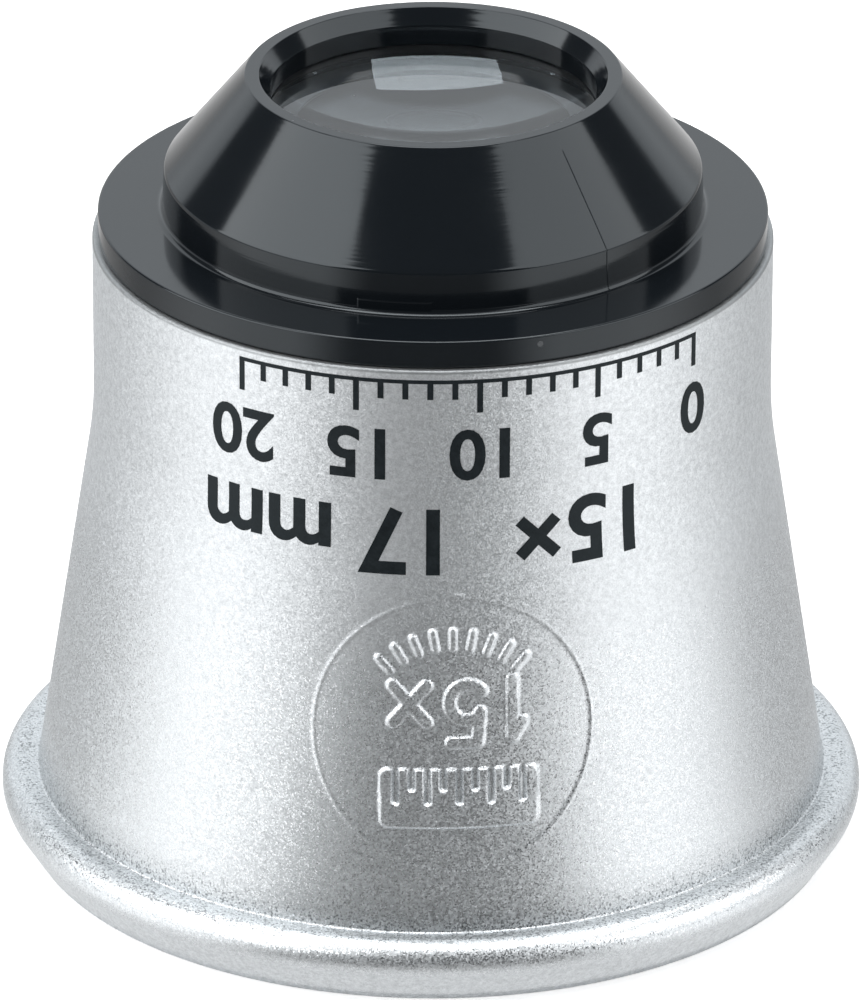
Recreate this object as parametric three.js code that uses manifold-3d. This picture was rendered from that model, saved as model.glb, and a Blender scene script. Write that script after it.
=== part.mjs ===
// Watchmaker eye loupe: a flared eye cup with a lens head that screws into its collar.
// Millimetres. +Z points from the eye to the watch, and the origin is the centre of the eye rim.

import * as THREE from 'three';
import * as BufferGeometryUtils from 'three/addons/utils/BufferGeometryUtils.js';
import Module from 'manifold-3d';

const wasm = await Module();
wasm.setup();

// Round work: facets in a full turn, steps in a rounded edge
const turnedSegments = 48;
const fineThreadSegments = 24;
const edgeSteps = 2;
const beadSteps = 7;
const kneeSteps = 4;
const lensSteps = 6;

// Eye cup, outside
const cupHeight = 26.67;
const waistRadius = 14;
const waistLength = 7.87; // straight part, from the knee to the collar's top
const kneeBlend = 20;
const flareWidth = 2.48; // how far the cone opens from the knee to the bead
const collarEdge = 0.25;

// Eye rim bead
const beadOffset = 0.64; // from the foot of the cone to the bead's centre circle
const beadHeight = 1.92;
const beadRound = 0.9;
const beadLipAngle = -30; // where the round ends in a sharp lip
const beadTopAngle = 90;
const ledgeDrop = 0.07;
const ledgeFillet = 0.2;
const eyeFaceSetback = 0.15; // resting face, inside the bead's centre circle
const eyeEdge = 0.45;

// Eye cup, inside
const cupWall = 1.8; // measured level, not square to the cone
const collarWall = 1.3;
const collarMouth = 0.3; // chamfer at the top of the collar
const collarRelief = 0.35; // free depth below the head's skirt

// Main thread, right-handed, between the collar and the head's skirt
const threadPitch = 1;
const threadDepth = 0.5;
const threadTurns = 3.25;
const threadClearance = 0.15;
const threadTopGap = 0.6; // from the collar's top to the last turn's middle
const threadBaseShare = 0.7; // of the pitch
const threadCrestShare = 0.2; // of the pitch
const threadBite = 0.1; // how deep a ridge's root is buried in its wall
const phaseShare = 0.5; // one thread runs half a pitch away from the other

// Lens head, outside
const seatClearance = 0.02; // flange over collar
const flangeSetback = 0.24;
const flangeThickness = 1.15;
const flangeEdge = 0.12;
const noseSetback = 0.93; // nose wall inside the skirt
const noseWallHeight = 1.76;
const noseConeHeight = 4.1;
const creaseRound = 0.3;
const footFillet = 0.25;
const topLand = 0.56; // width of the flat ring round the front opening
const topEdge = 0.08;

// Lens head, inside
const skirtWall = 1.15;
const skirtTip = 0.5; // skirt below its thread
const skirtChamfer = 0.3;
const noseWall = 1.5;
const coreDrop = 0.6; // top of the hollow, below the crease
const sleeveWall = 1.15;
const countersinkMargin = 0.14;
const countersinkFlare = 0.46;
const countersinkDepth = 0.64;
const seatDepth = 1.5; // from the nose's top down to the lens seat

// Lens stack
const lensRadius = 7;
const lensClearance = 0.05;
const lensCurve = 19.6; // radius of a lens's domed side
const lensEdge = 1.5;
const stackPlay = 0.03;
const stopThickness = 0.25;
const stopLip = 1.4; // width of the stop's flat ring
const spacerLength = 3.1;
const spacerWall = 0.7;

// Retaining ring and its fine thread
const ringHeight = 1.6;
const ringOverlap = 1; // how far the ring covers the rear lens
const ringInset = 0.3; // ring above the sleeve's end
const ringNotchWidth = 1.2;
const ringNotchDepth = 0.7;
const ringNotches = 2;
const finePitch = 0.6;
const fineDepth = 0.3;
const fineTurns = 1.5;
const fineClearance = 0.1;
const fineLead = 0.1; // lens to thread crest
const overrun = 1; // how far a cut runs past the face that it opens

// Worked-out sizes of the cup
const kneeHeight = cupHeight - waistLength;
const flareFootRadius = waistRadius + flareWidth;
const beadRadius = flareFootRadius + beadOffset;
const flareFootHeight = beadHeight + beadRound - ledgeDrop;
const flareSlope = flareWidth / (kneeHeight - flareFootHeight);
const eyeFaceRadius = beadRadius - eyeFaceSetback;
const eyeMouthRadius = flareFootRadius + flareSlope * flareFootHeight - cupWall;
const collarRoot = waistRadius - collarWall;
const collarBore = collarRoot - threadDepth;

// Worked-out sizes of the head, heights measured from the flange's underside
const headSeat = cupHeight + seatClearance;
const skirtCrest = collarRoot - threadClearance;
const skirtRadius = skirtCrest - threadDepth;
const skirtInside = skirtRadius - skirtWall;
const flangeRadius = waistRadius - flangeSetback;
const noseRadius = skirtRadius - noseSetback;
const creaseHeight = flangeThickness + noseWallHeight;
const noseTop = creaseHeight + noseConeHeight;
const countersinkRadius = lensRadius + countersinkMargin;
const noseTopRadius = countersinkRadius + topLand;
const boreRadius = lensRadius + lensClearance;
const seatRadius = countersinkRadius - countersinkFlare;
const lensSeat = noseTop - seatDepth;
const fineCrest = lensRadius + fineLead;
const fineRoot = fineCrest + fineDepth;
const sleeveRadius = fineRoot + sleeveWall;
const collarThreadStart = cupHeight - threadTopGap - threadTurns * threadPitch;
const skirtThreadStart = collarThreadStart - phaseShare * threadPitch - headSeat;
const skirtEnd = skirtThreadStart - skirtTip;
const collarReliefHeight = headSeat + skirtEnd - collarRelief;

// Worked-out heights of the lens stack, from the flange's underside
const ringBore = lensRadius - ringOverlap;
const stopBore = lensRadius - stopLip;
const spacerBore = lensRadius - spacerWall;
const frontRimBottom = lensSeat - stackPlay - lensEdge;
const stopTop = frontRimBottom - domeRise(stopBore, lensRadius) - stackPlay;
const spacerTop = stopTop - stopThickness - stackPlay;
const rearRimTop = spacerTop - spacerLength - stackPlay - domeRise(spacerBore, lensRadius);
const ringTop = rearRimTop - lensEdge - stackPlay;
const ringBottom = ringTop - ringHeight;
const sleeveEnd = ringBottom - ringInset;
const fineRidgeRise = fineTurns * finePitch;
const ringThreadStart = ringBottom + (ringHeight - fineRidgeRise) / 2;
const sleeveThreadStart = ringThreadStart - phaseShare * finePitch;

// Height that a lens surface gains between two distances from its axis
function domeRise(innerRadius, outerRadius) {
  return Math.sqrt(lensCurve ** 2 - innerRadius ** 2) - Math.sqrt(lensCurve ** 2 - outerRadius ** 2);
}

// Profile points [radius, height, round]: a third value rounds that corner
function profile(corners, steps = edgeSteps) {
  const points = [];
  corners.forEach(([radius, height, round], index) => {
    const corner = new THREE.Vector2(radius, height);
    if (!round) {
      points.push(corner);
      return;
    }
    const before = new THREE.Vector2(...corners.at(index - 1)).sub(corner).normalize();
    const after = new THREE.Vector2(...corners[(index + 1) % corners.length]).sub(corner).normalize();
    const halfAngle = Math.acos(before.dot(after)) / 2;
    const reach = round / Math.tan(halfAngle);
    const centre = before.clone().add(after).setLength(round / Math.sin(halfAngle)).add(corner);
    const start = before.clone().multiplyScalar(reach).add(corner).sub(centre);
    const end = after.clone().multiplyScalar(reach).add(corner).sub(centre);
    const turn = Math.atan2(start.cross(end), start.dot(end));
    for (let step = 0; step <= steps; step += 1) {
      const spoke = start.clone().rotateAround(new THREE.Vector2(), (turn * step) / steps);
      points.push(spoke.add(centre));
    }
  });
  return points;
}

// Points on an arc, angles in degrees from the level outward direction
function arc(centreRadius, centreHeight, radius, startAngle, endAngle, steps) {
  return Array.from({ length: steps + 1 }, (_, step) => {
    const angle = THREE.MathUtils.degToRad(startAngle + ((endAngle - startAngle) * step) / steps);
    const offset = new THREE.Vector2(radius, 0).rotateAround(new THREE.Vector2(), angle);
    return offset.add(new THREE.Vector2(centreRadius, centreHeight));
  });
}

// A closed profile turned about the optical axis
function turned(points) {
  const geometry = new THREE.LatheGeometry([...points, points[0]], turnedSegments);
  return geometry.rotateX(Math.PI / 2);
}

// A profile that starts and ends on the optical axis
function turnedDisc(points) {
  return new THREE.LatheGeometry(points, turnedSegments).rotateX(Math.PI / 2);
}

// A helical ridge that rises by one pitch a turn, counter-clockwise seen from the watch side
function threadRidge({ baseRadius, crestRadius, pitch, turns, start, segments }) {
  const baseReach = (threadBaseShare * pitch) / 2;
  const crestReach = (threadCrestShare * pitch) / 2;
  const section = [
    [baseRadius, -baseReach],
    [crestRadius, -crestReach],
    [crestRadius, crestReach],
    [baseRadius, baseReach],
  ];
  if (crestRadius < baseRadius) section.reverse();
  const count = Math.round(turns * segments);
  const positions = [];
  const index = [];
  for (let slice = 0; slice <= count; slice += 1) {
    const angle = (slice * Math.PI * 2) / segments;
    const rise = start + (slice * pitch) / segments;
    section.forEach(([radius, height]) => {
      positions.push(radius * Math.cos(angle), radius * Math.sin(angle), height + rise);
    });
  }
  const sides = section.length;
  for (let slice = 0; slice < count; slice += 1) {
    for (let side = 0; side < sides; side += 1) {
      const here = slice * sides + side;
      const beside = slice * sides + ((side + 1) % sides);
      index.push(here, here + sides, beside, beside, here + sides, beside + sides);
    }
  }
  const last = count * sides;
  for (let side = 1; side < sides - 1; side += 1) {
    index.push(0, side, side + 1, last, last + side + 1, last + side);
  }
  const geometry = new THREE.BufferGeometry();
  geometry.setAttribute('position', new THREE.Float32BufferAttribute(positions, 3));
  geometry.setIndex(index);
  return geometry;
}

// Closed geometry to a solid for joining and cutting, and back
function toSolid(geometry) {
  const bare = geometry.clone();
  bare.deleteAttribute('normal');
  bare.deleteAttribute('uv');
  const merged = BufferGeometryUtils.mergeVertices(bare);
  const vertProperties = Float32Array.from(merged.attributes.position.array);
  const triVerts = Uint32Array.from(merged.index.array);
  return new wasm.Manifold(new wasm.Mesh({ numProp: 3, vertProperties, triVerts }));
}

function toGeometry(solid) {
  const { vertProperties, triVerts } = solid.getMesh();
  const geometry = new THREE.BufferGeometry();
  geometry.setAttribute('position', new THREE.BufferAttribute(vertProperties, 3));
  geometry.setIndex(new THREE.BufferAttribute(triVerts, 1));
  geometry.computeVertexNormals();
  return geometry;
}

// Flared cup with the eye rim's bead below and the threaded collar above
function eyeCup() {
  const bead = arc(beadRadius, beadHeight, beadRound, beadLipAngle, beadTopAngle, beadSteps);
  const flareFoot = profile([
    [beadRadius, beadHeight + beadRound],
    [flareFootRadius, flareFootHeight, ledgeFillet],
    [waistRadius, kneeHeight],
  ]).slice(1, -1);
  const kneeCorners = [
    [flareFootRadius, flareFootHeight],
    [waistRadius, kneeHeight, kneeBlend],
    [waistRadius, cupHeight],
  ];
  const knee = profile(kneeCorners, kneeSteps).slice(1, -1);
  // Round the collar's top edge, then down the inside; the last corner only aims the first round
  const collarAndInside = profile([
    [waistRadius, cupHeight, collarEdge],
    [collarRoot + collarMouth, cupHeight],
    [collarRoot, cupHeight - collarMouth],
    [collarRoot, collarReliefHeight + threadDepth],
    [collarBore, collarReliefHeight],
    [collarBore, kneeHeight + (waistRadius - cupWall - collarBore)],
    [eyeMouthRadius, 0, eyeEdge],
    [eyeFaceRadius, 0],
    [waistRadius, kneeHeight],
  ]).slice(0, -1);
  const shell = toSolid(turned([...bead, ...flareFoot, ...knee, ...collarAndInside]));
  const ridge = toSolid(
    threadRidge({
      baseRadius: collarRoot + threadBite,
      crestRadius: collarBore,
      pitch: threadPitch,
      turns: threadTurns,
      start: collarThreadStart,
      segments: turnedSegments,
    }),
  );
  return toGeometry(shell.add(ridge));
}

// Black screw-in head: nose, flange, threaded skirt and the sleeve that holds the lenses
function lensBarrel() {
  const body = toSolid(
    turned(
      profile([
        [fineRoot, sleeveEnd],
        [fineRoot, ringTop],
        [boreRadius, ringTop + fineDepth],
        [boreRadius, lensSeat],
        [seatRadius, lensSeat],
        [seatRadius, noseTop - countersinkDepth],
        [countersinkRadius, noseTop],
        [noseTopRadius, noseTop, topEdge],
        [noseRadius, creaseHeight, creaseRound],
        [noseRadius, flangeThickness, footFillet],
        [flangeRadius, flangeThickness, flangeEdge],
        [flangeRadius, 0, flangeEdge],
        [skirtRadius, 0],
        [skirtRadius, skirtEnd + skirtChamfer],
        [skirtRadius - skirtChamfer, skirtEnd],
        [skirtInside, skirtEnd],
        [skirtInside, 0],
        [noseRadius - noseWall, flangeThickness],
        [noseRadius - noseWall, creaseHeight - coreDrop],
        [sleeveRadius, creaseHeight - coreDrop],
        [sleeveRadius, sleeveEnd],
      ]).reverse(),
    ),
  );
  const skirtRidge = toSolid(
    threadRidge({
      baseRadius: skirtRadius - threadBite,
      crestRadius: skirtCrest,
      pitch: threadPitch,
      turns: threadTurns,
      start: skirtThreadStart,
      segments: turnedSegments,
    }),
  );
  const sleeveRidge = toSolid(
    threadRidge({
      baseRadius: fineRoot + threadBite,
      crestRadius: fineCrest,
      pitch: finePitch,
      turns: fineTurns,
      start: sleeveThreadStart,
      segments: fineThreadSegments,
    }),
  );
  return toGeometry(body.add(skirtRidge).add(sleeveRidge));
}

// Lens with one domed side and one flat side, its rim's top at height zero
function domedLens() {
  const rimHeight = Math.sqrt(lensCurve ** 2 - lensRadius ** 2);
  const dome = Array.from({ length: lensSteps + 1 }, (_, step) => {
    const radius = (lensRadius * step) / lensSteps;
    return new THREE.Vector2(radius, Math.sqrt(lensCurve ** 2 - radius ** 2) - rimHeight);
  });
  const back = [new THREE.Vector2(lensRadius, -lensEdge), new THREE.Vector2(0, -lensEdge)];
  return turnedDisc([...dome, ...back].reverse());
}

// Flat ring between two heights
function flatRing(insideRadius, outsideRadius, thickness) {
  return turned([
    new THREE.Vector2(insideRadius, 0),
    new THREE.Vector2(outsideRadius, 0),
    new THREE.Vector2(outsideRadius, thickness),
    new THREE.Vector2(insideRadius, thickness),
  ]);
}

// Threaded ring with two spanner notches in the face towards the eye
function retainingRing() {
  const fineRidgeCrest = fineRoot - fineClearance;
  const ringRadius = fineRidgeCrest - fineDepth;
  const ridge = threadRidge({
    baseRadius: ringRadius - threadBite,
    crestRadius: fineRidgeCrest,
    pitch: finePitch,
    turns: fineTurns,
    start: ringThreadStart - ringBottom,
    segments: fineThreadSegments,
  });
  let ring = toSolid(flatRing(ringBore, ringRadius, ringHeight)).add(toSolid(ridge));
  for (let notch = 0; notch < ringNotches; notch += 1) {
    const cut = new THREE.BoxGeometry(ringBore + overrun, ringNotchWidth, ringNotchDepth + overrun);
    cut.translate(ringBore, 0, (ringNotchDepth - overrun) / 2);
    cut.rotateZ((notch * Math.PI * 2) / ringNotches);
    ring = ring.subtract(toSolid(cut));
  }
  return toGeometry(ring);
}

const silverLacquer = new THREE.MeshStandardMaterial({ color: 0xc4c6c8, roughness: 0.42, metalness: 0.85 });
const blackPlastic = new THREE.MeshStandardMaterial({ color: 0x16181a, roughness: 0.16, metalness: 0 });
const blackMetal = new THREE.MeshStandardMaterial({ color: 0x0e0f10, roughness: 0.55, metalness: 0.3 });
const lensGlass = new THREE.MeshStandardMaterial({
  color: 0xdfe6e8,
  roughness: 0.02,
  metalness: 0,
  transparent: true,
  opacity: 0.35,
});

function piece(name, geometry, material, height = 0) {
  const mesh = new THREE.Mesh(geometry, material);
  mesh.name = name;
  mesh.position.z = height;
  return mesh;
}

// The head stands on the collar, and the lens stack stands in the head with the domes face to face
const lensStack = new THREE.Group();
const frontLens = piece('front_lens', domedLens(), lensGlass, frontRimBottom);
const rearLens = piece('rear_lens', domedLens(), lensGlass, rearRimTop);
frontLens.rotation.x = Math.PI;
const stopRing = flatRing(stopBore, lensRadius, stopThickness);
const spacerRing = flatRing(spacerBore, lensRadius, spacerLength);
lensStack.add(frontLens, rearLens);
lensStack.add(piece('aperture_stop', stopRing, blackMetal, stopTop - stopThickness));
lensStack.add(piece('spacer_ring', spacerRing, blackMetal, spacerTop - spacerLength));

const head = new THREE.Group();
head.position.z = headSeat;
head.add(piece('lens_barrel', lensBarrel(), blackPlastic));
head.add(piece('retaining_ring', retainingRing(), blackMetal, ringBottom));
head.add(lensStack);

const loupe = new THREE.Group();
loupe.add(piece('eye_cup', eyeCup(), silverLacquer), head);

export default loupe;
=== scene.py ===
import math

import bmesh
import bpy
import numpy as np
from mathutils import Matrix, Vector


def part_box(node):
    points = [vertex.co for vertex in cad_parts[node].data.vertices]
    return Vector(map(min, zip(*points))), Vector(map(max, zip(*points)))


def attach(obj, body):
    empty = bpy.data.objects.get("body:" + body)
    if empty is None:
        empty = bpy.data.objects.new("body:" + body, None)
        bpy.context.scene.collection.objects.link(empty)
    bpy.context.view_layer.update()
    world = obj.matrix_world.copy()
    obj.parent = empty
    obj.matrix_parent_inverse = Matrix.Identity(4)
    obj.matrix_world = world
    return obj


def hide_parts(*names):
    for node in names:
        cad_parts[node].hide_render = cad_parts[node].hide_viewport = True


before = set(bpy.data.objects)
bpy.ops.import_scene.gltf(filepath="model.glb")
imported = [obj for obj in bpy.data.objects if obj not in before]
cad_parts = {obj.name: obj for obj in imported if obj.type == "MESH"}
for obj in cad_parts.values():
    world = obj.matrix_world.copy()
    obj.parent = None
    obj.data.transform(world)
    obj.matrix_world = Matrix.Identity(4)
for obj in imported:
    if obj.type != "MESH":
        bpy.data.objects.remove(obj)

# Sizes are millimetres and degrees. Azimuth 0 faces -Y, where the camera stands, and grows towards +X.
mm = 0.001
fullTurn = 2 * math.pi
scene = bpy.context.scene
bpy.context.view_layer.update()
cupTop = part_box("eye_cup")[1].z / mm
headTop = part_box("lens_barrel")[1].z / mm
print("frame loaded: cup %.2f mm high, head up to %.2f mm" % (cupTop, headTop))


# Outlines, bands and pieces

def roundedOutline(corners, values, hold=0.04):
    # corners are (radius, height) or (radius, height, round), as numbers or as names of a piece's values
    # a held point keeps the flats flat beside a round
    corners = [[values[part] if isinstance(part, str) else part for part in corner] for corner in corners]
    steps = values["roundSteps"]
    points = []
    for index, corner in enumerate(corners):
        place = Vector(corner[:2])
        if len(corner) == 2:
            points.append(place)
            continue
        toBefore = (Vector(corners[index - 1][:2]) - place).normalized()
        toAfter = (Vector(corners[index + 1][:2]) - place).normalized()
        halfAngle = toBefore.angle(toAfter) / 2
        reach = corner[2] / math.tan(halfAngle)
        centre = place + (toBefore + toAfter).normalized() * corner[2] / math.sin(halfAngle)
        start = place + toBefore * reach - centre
        end = place + toAfter * reach - centre
        turn = math.atan2(start.x * end.y - start.y * end.x, start.dot(end))
        points.append(place + toBefore * (reach + hold))
        points += [centre + Matrix.Rotation(turn * step / steps, 2) @ start for step in range(steps + 1)]
        points.append(place + toAfter * (reach + hold))
    return points


def arcOutline(centre, radius, startAngle, endAngle, steps):
    angles = np.radians(np.linspace(startAngle, endAngle, steps + 1))
    x, y = centre
    return [Vector((x + radius * math.cos(angle), y + radius * math.sin(angle))) for angle in angles]


def onRound(radius, azimuth, height):
    # radians in, one row of three numbers for each point out
    radius, azimuth, height = np.broadcast_arrays(radius, azimuth, height)
    return np.stack([radius * np.sin(azimuth), -radius * np.cos(azimuth), height], -1)


def gridFaces(columns, rows, wrap):
    across = columns if wrap else columns - 1
    column, row = np.meshgrid(np.arange(across), np.arange(rows - 1), indexing="ij")
    here = column * rows + row
    beside = (column + 1) % columns * rows + row
    return np.stack([here, beside, beside + 1, here + 1], -1).reshape(-1, 4).tolist()


def turnedBand(outline, columns):
    outline = np.array([tuple(point) for point in outline])
    azimuth = np.arange(columns)[:, None] * fullTurn / columns
    points = onRound(outline[None, :, 0], azimuth, outline[None, :, 1])
    return points.reshape(-1, 3), gridFaces(columns, len(outline), True)


threadShape = {
    "rows": (-0.5, -0.42, -0.36, -0.33, -0.28, -0.17, -0.12, -0.09, -0.04,
             0.04, 0.09, 0.12, 0.17, 0.28, 0.33, 0.36, 0.42),  # shares of the pitch
    "baseShare": 0.35,
    "crestShare": 0.1,
    "softness": 0.3,
    "runOut": 0.14,  # share of a turn in which an end fades
    "firstAzimuth": 90,
}


def threadBand(low, high, base, crest, pitch, start, turns, columns):
    # Rows lie along the helix, and rows past either end fold onto the end's circle
    azimuth = np.linspace(0, fullTurn, columns + 1)[:, None]
    shares = np.array(threadShape["rows"])
    firstTurn = math.floor((low - start) / pitch) - 2
    lastTurn = math.ceil((high - start) / pitch) + 2
    wholeTurns = np.repeat(np.arange(firstTurn, lastTurn), len(shares))[None, :]
    offset = np.tile(shares, lastTurn - firstTurn)[None, :]
    turn = (azimuth - math.radians(threadShape["firstAzimuth"])) / fullTurn + wholeTurns
    height = start + pitch * (turn + offset)
    span = threadShape["baseShare"] - threadShape["crestShare"]
    level = np.clip((threadShape["baseShare"] - np.abs(offset)) / span, 0, 1)
    level += threadShape["softness"] * (level * level * (3 - 2 * level) - level)
    fade = np.clip(turn / threadShape["runOut"], 0, 1) * np.clip((turns - turn) / threadShape["runOut"], 0, 1)
    level = level * fade * ((height > low) & (height < high))
    points = onRound(base + (crest - base) * level, azimuth, np.clip(height, low, high))
    return points.reshape(-1, 3), gridFaces(columns + 1, height.shape[1], False)


join = {
    "weldReach": 0.0005,
    "sharpAngle": 32,
}


def addObject(name, data):
    thing = bpy.data.objects.new(name, data)
    scene.collection.objects.link(thing)
    return thing


def makePiece(name, bands, finishNames, body, node=None, sharp=join["sharpAngle"]):
    # bands are (points, faces) or (points, faces, finish number); shared edges are welded
    mesh = bpy.data.meshes.new(name)
    allPoints, allFaces, numbers = [], [], []
    for band in bands:
        shift = sum(len(points) for points in allPoints)
        allPoints.append(band[0])
        allFaces += [[index + shift for index in face] for face in band[1]]
        numbers += [band[2] if len(band) > 2 else 0] * len(band[1])
    mesh.from_pydata((np.concatenate(allPoints) * mm).tolist(), [], allFaces)
    mesh.polygons.foreach_set("material_index", numbers)
    work = bmesh.new()
    work.from_mesh(mesh)
    bmesh.ops.remove_doubles(work, verts=work.verts, dist=join["weldReach"] * mm)
    bmesh.ops.recalc_face_normals(work, faces=work.faces)
    work.to_mesh(mesh)
    work.free()
    for finish in finishNames:
        mesh.materials.append(finishes[finish])
    mesh.shade_smooth()
    mesh.set_sharp_from_angle(angle=math.radians(sharp))
    piece = addObject(name, mesh)
    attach(piece, body)
    if node:
        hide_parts(node)
    print("%s: %d faces" % (name, len(mesh.polygons)))
    return piece


# Shader node helpers

def feed(node, sockets):
    # Other nodes' sockets are linked, anything else is set
    for key, value in sockets.items():
        if isinstance(value, bpy.types.NodeSocket):
            node.id_data.links.new(value, node.inputs[key])
        else:
            node.inputs[key].default_value = value


def addNode(tree, kind, sockets=None, **settings):
    node = tree.nodes.new("ShaderNode" + kind)
    for key, value in settings.items():
        setattr(node, key, value)
    feed(node, sockets or {})
    return node


def addMath(operation, first, second=0.5):
    # Either value can be the socket that tells the tree, as the first one does below
    tree = (first if isinstance(first, bpy.types.NodeSocket) else second).id_data
    return addNode(tree, "Math", {0: first, 1: second}, operation=operation).outputs[0]


def addProduct(first, second):
    return addMath("MULTIPLY", first, second)


def objectPlace(tree):
    return addNode(tree, "TexCoord").outputs["Object"]


def objectAxes(tree):
    return addNode(tree, "SeparateXYZ", {"Vector": objectPlace(tree)}).outputs


def addNoise(place, scale, detail):
    sockets = {"Vector": place, "Scale": scale, "Detail": detail}
    return addNode(place.id_data, "TexNoise", sockets).outputs["Fac"]


def addLineNoise(along, scale):
    sockets = {"W": along, "Scale": scale, "Detail": 1.0}
    return addNode(along.id_data, "TexNoise", sockets, noise_dimensions="1D").outputs["Fac"]


def addBump(height, depth, normal=None, strength=1.0, invert=False):
    # depth in mm
    sockets = {"Height": height, "Distance": depth * mm, "Strength": strength}
    if normal is not None:
        sockets["Normal"] = normal
    return addNode(height.id_data, "Bump", sockets, invert=invert).outputs["Normal"]


def addRange(value, fromLow, fromHigh, toLow=0.0, toHigh=1.0, smooth=False):
    kind = "SMOOTHSTEP" if smooth else "LINEAR"
    sockets = {"Value": value, "From Min": fromLow, "From Max": fromHigh, "To Min": toLow, "To Max": toHigh}
    return addNode(value.id_data, "MapRange", sockets, interpolation_type=kind).outputs["Result"]


def addMix(factor, first, second):
    return addNode(factor.id_data, "Mix", {0: factor, 6: first, 7: second}, data_type="RGBA").outputs[2]


def addBlend(factor, first, second):
    return addNode(factor.id_data, "Mix", {0: factor, 2: first, 3: second}).outputs[0]


def newMaterial(name, values):
    material = bpy.data.materials.new(name)
    material.use_nodes = True
    tree = material.node_tree
    shader = tree.nodes["Principled BSDF"]
    feed(shader, values)
    return material, tree, shader


def newGroup(name, inputs, outputs):
    group = bpy.data.node_groups.new(name, "ShaderNodeTree")
    for key, value in inputs.items():
        group.interface.new_socket(key, in_out="INPUT", socket_type="NodeSocketFloat").default_value = value
    for key in outputs:
        group.interface.new_socket(key, in_out="OUTPUT", socket_type="NodeSocketFloat")
    return group, group.nodes.new("NodeGroupInput").outputs, group.nodes.new("NodeGroupOutput").inputs


def grainGroup():
    # Two sizes of grain: a mottle for colour and a height for bump. Sizes are grains per metre.
    group, given, made = newGroup("grain", {"Fineness": 8000.0, "Coarseness": 0.25}, ("Mottle", "Height"))
    place = objectPlace(group)
    fine = addNoise(place, given["Fineness"], 2.0)
    broad = addNoise(place, addProduct(given["Fineness"], given["Coarseness"]), 3.0)
    group.links.new(addProduct(addMath("ADD", fine, broad), 0.5), made["Mottle"])
    group.links.new(fine, made["Height"])
    return group


dust = {
    "reach": (0.03, 0.1),  # smallest and largest speck, as a share of the room between specks
    "onGloss": {"Specks": 700.0, "Amount": 0.035},
    "onGlass": {"Specks": 900.0, "Amount": 0.05},
    "roughness": 0.6,
}


def dustGroup():
    # Rare soft specks of lint: a mask that is 1 in the middle of a speck
    group, given, made = newGroup("dust", {"Specks": 500.0, "Amount": 0.06}, ("Mask",))
    cells = addNode(group, "TexVoronoi", {"Vector": objectPlace(group), "Scale": given["Specks"]}).outputs
    own = addNode(group, "SeparateColor", {"Color": cells["Color"]}).outputs
    kept = addMath("LESS_THAN", own["Red"], given["Amount"])
    reach = addRange(own["Green"], 0.0, 1.0, *dust["reach"])
    speck = addMath("LESS_THAN", cells["Distance"], reach)
    group.links.new(addProduct(kept, speck), made["Mask"])
    return group


def placeGroup(tree, name, values):
    return addNode(tree, "Group", values, node_tree=groups[name]).outputs


# Finishes

plasticIor = 1.5

lacquer = {
    "light": (0.86, 0.888, 0.91, 1),
    "shade": (0.61, 0.634, 0.652, 1),
    "thin": (0.25, 0.265, 0.275, 1),
    # painted shade for the collar's top edge under the flange, where the lacquer also ends
    "edge": (0.36, 0.375, 0.385, 1),
    "metallic": 0.97,
    "rough": (0.17, 0.64),  # of the flakes on the cone and the bead
    "calm": (0.43, 0.58),  # of the flakes on the collar and the eye face
    "calmTop": (11.5, 19),  # heights between which the lacquer calms down
    "calmFoot": (1.55, 1.4),
    "grain": {"Fineness": 15000.0, "Coarseness": 0.3},
    "grainDepth": 0.008,
    "mottle": (0.36, 0.64),  # the grain's range, from shade to light
    "peels": 1500.0,
    "peelDepth": 0.0015,
    "flakes": 18500.0,
    "flakeTilt": 0.2,
    "flakeTone": (0.64, 0.12),  # how much of the tone is the flake's own, rough and calm
    "thinFoot": (4.5, 3.1),  # heights between which the lacquer thins out
    "thinEnd": (2.6, 2.8),  # and those between which that ends again
    "thinShare": 0.18,
    "specks": 9500.0,
    "speckGain": 0.12,
    "speckRange": (0.64, 0.76),
    # heights of the collar's edge that get the painted shade
    "shadedEdge": (26.5, 26.58),
}


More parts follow.
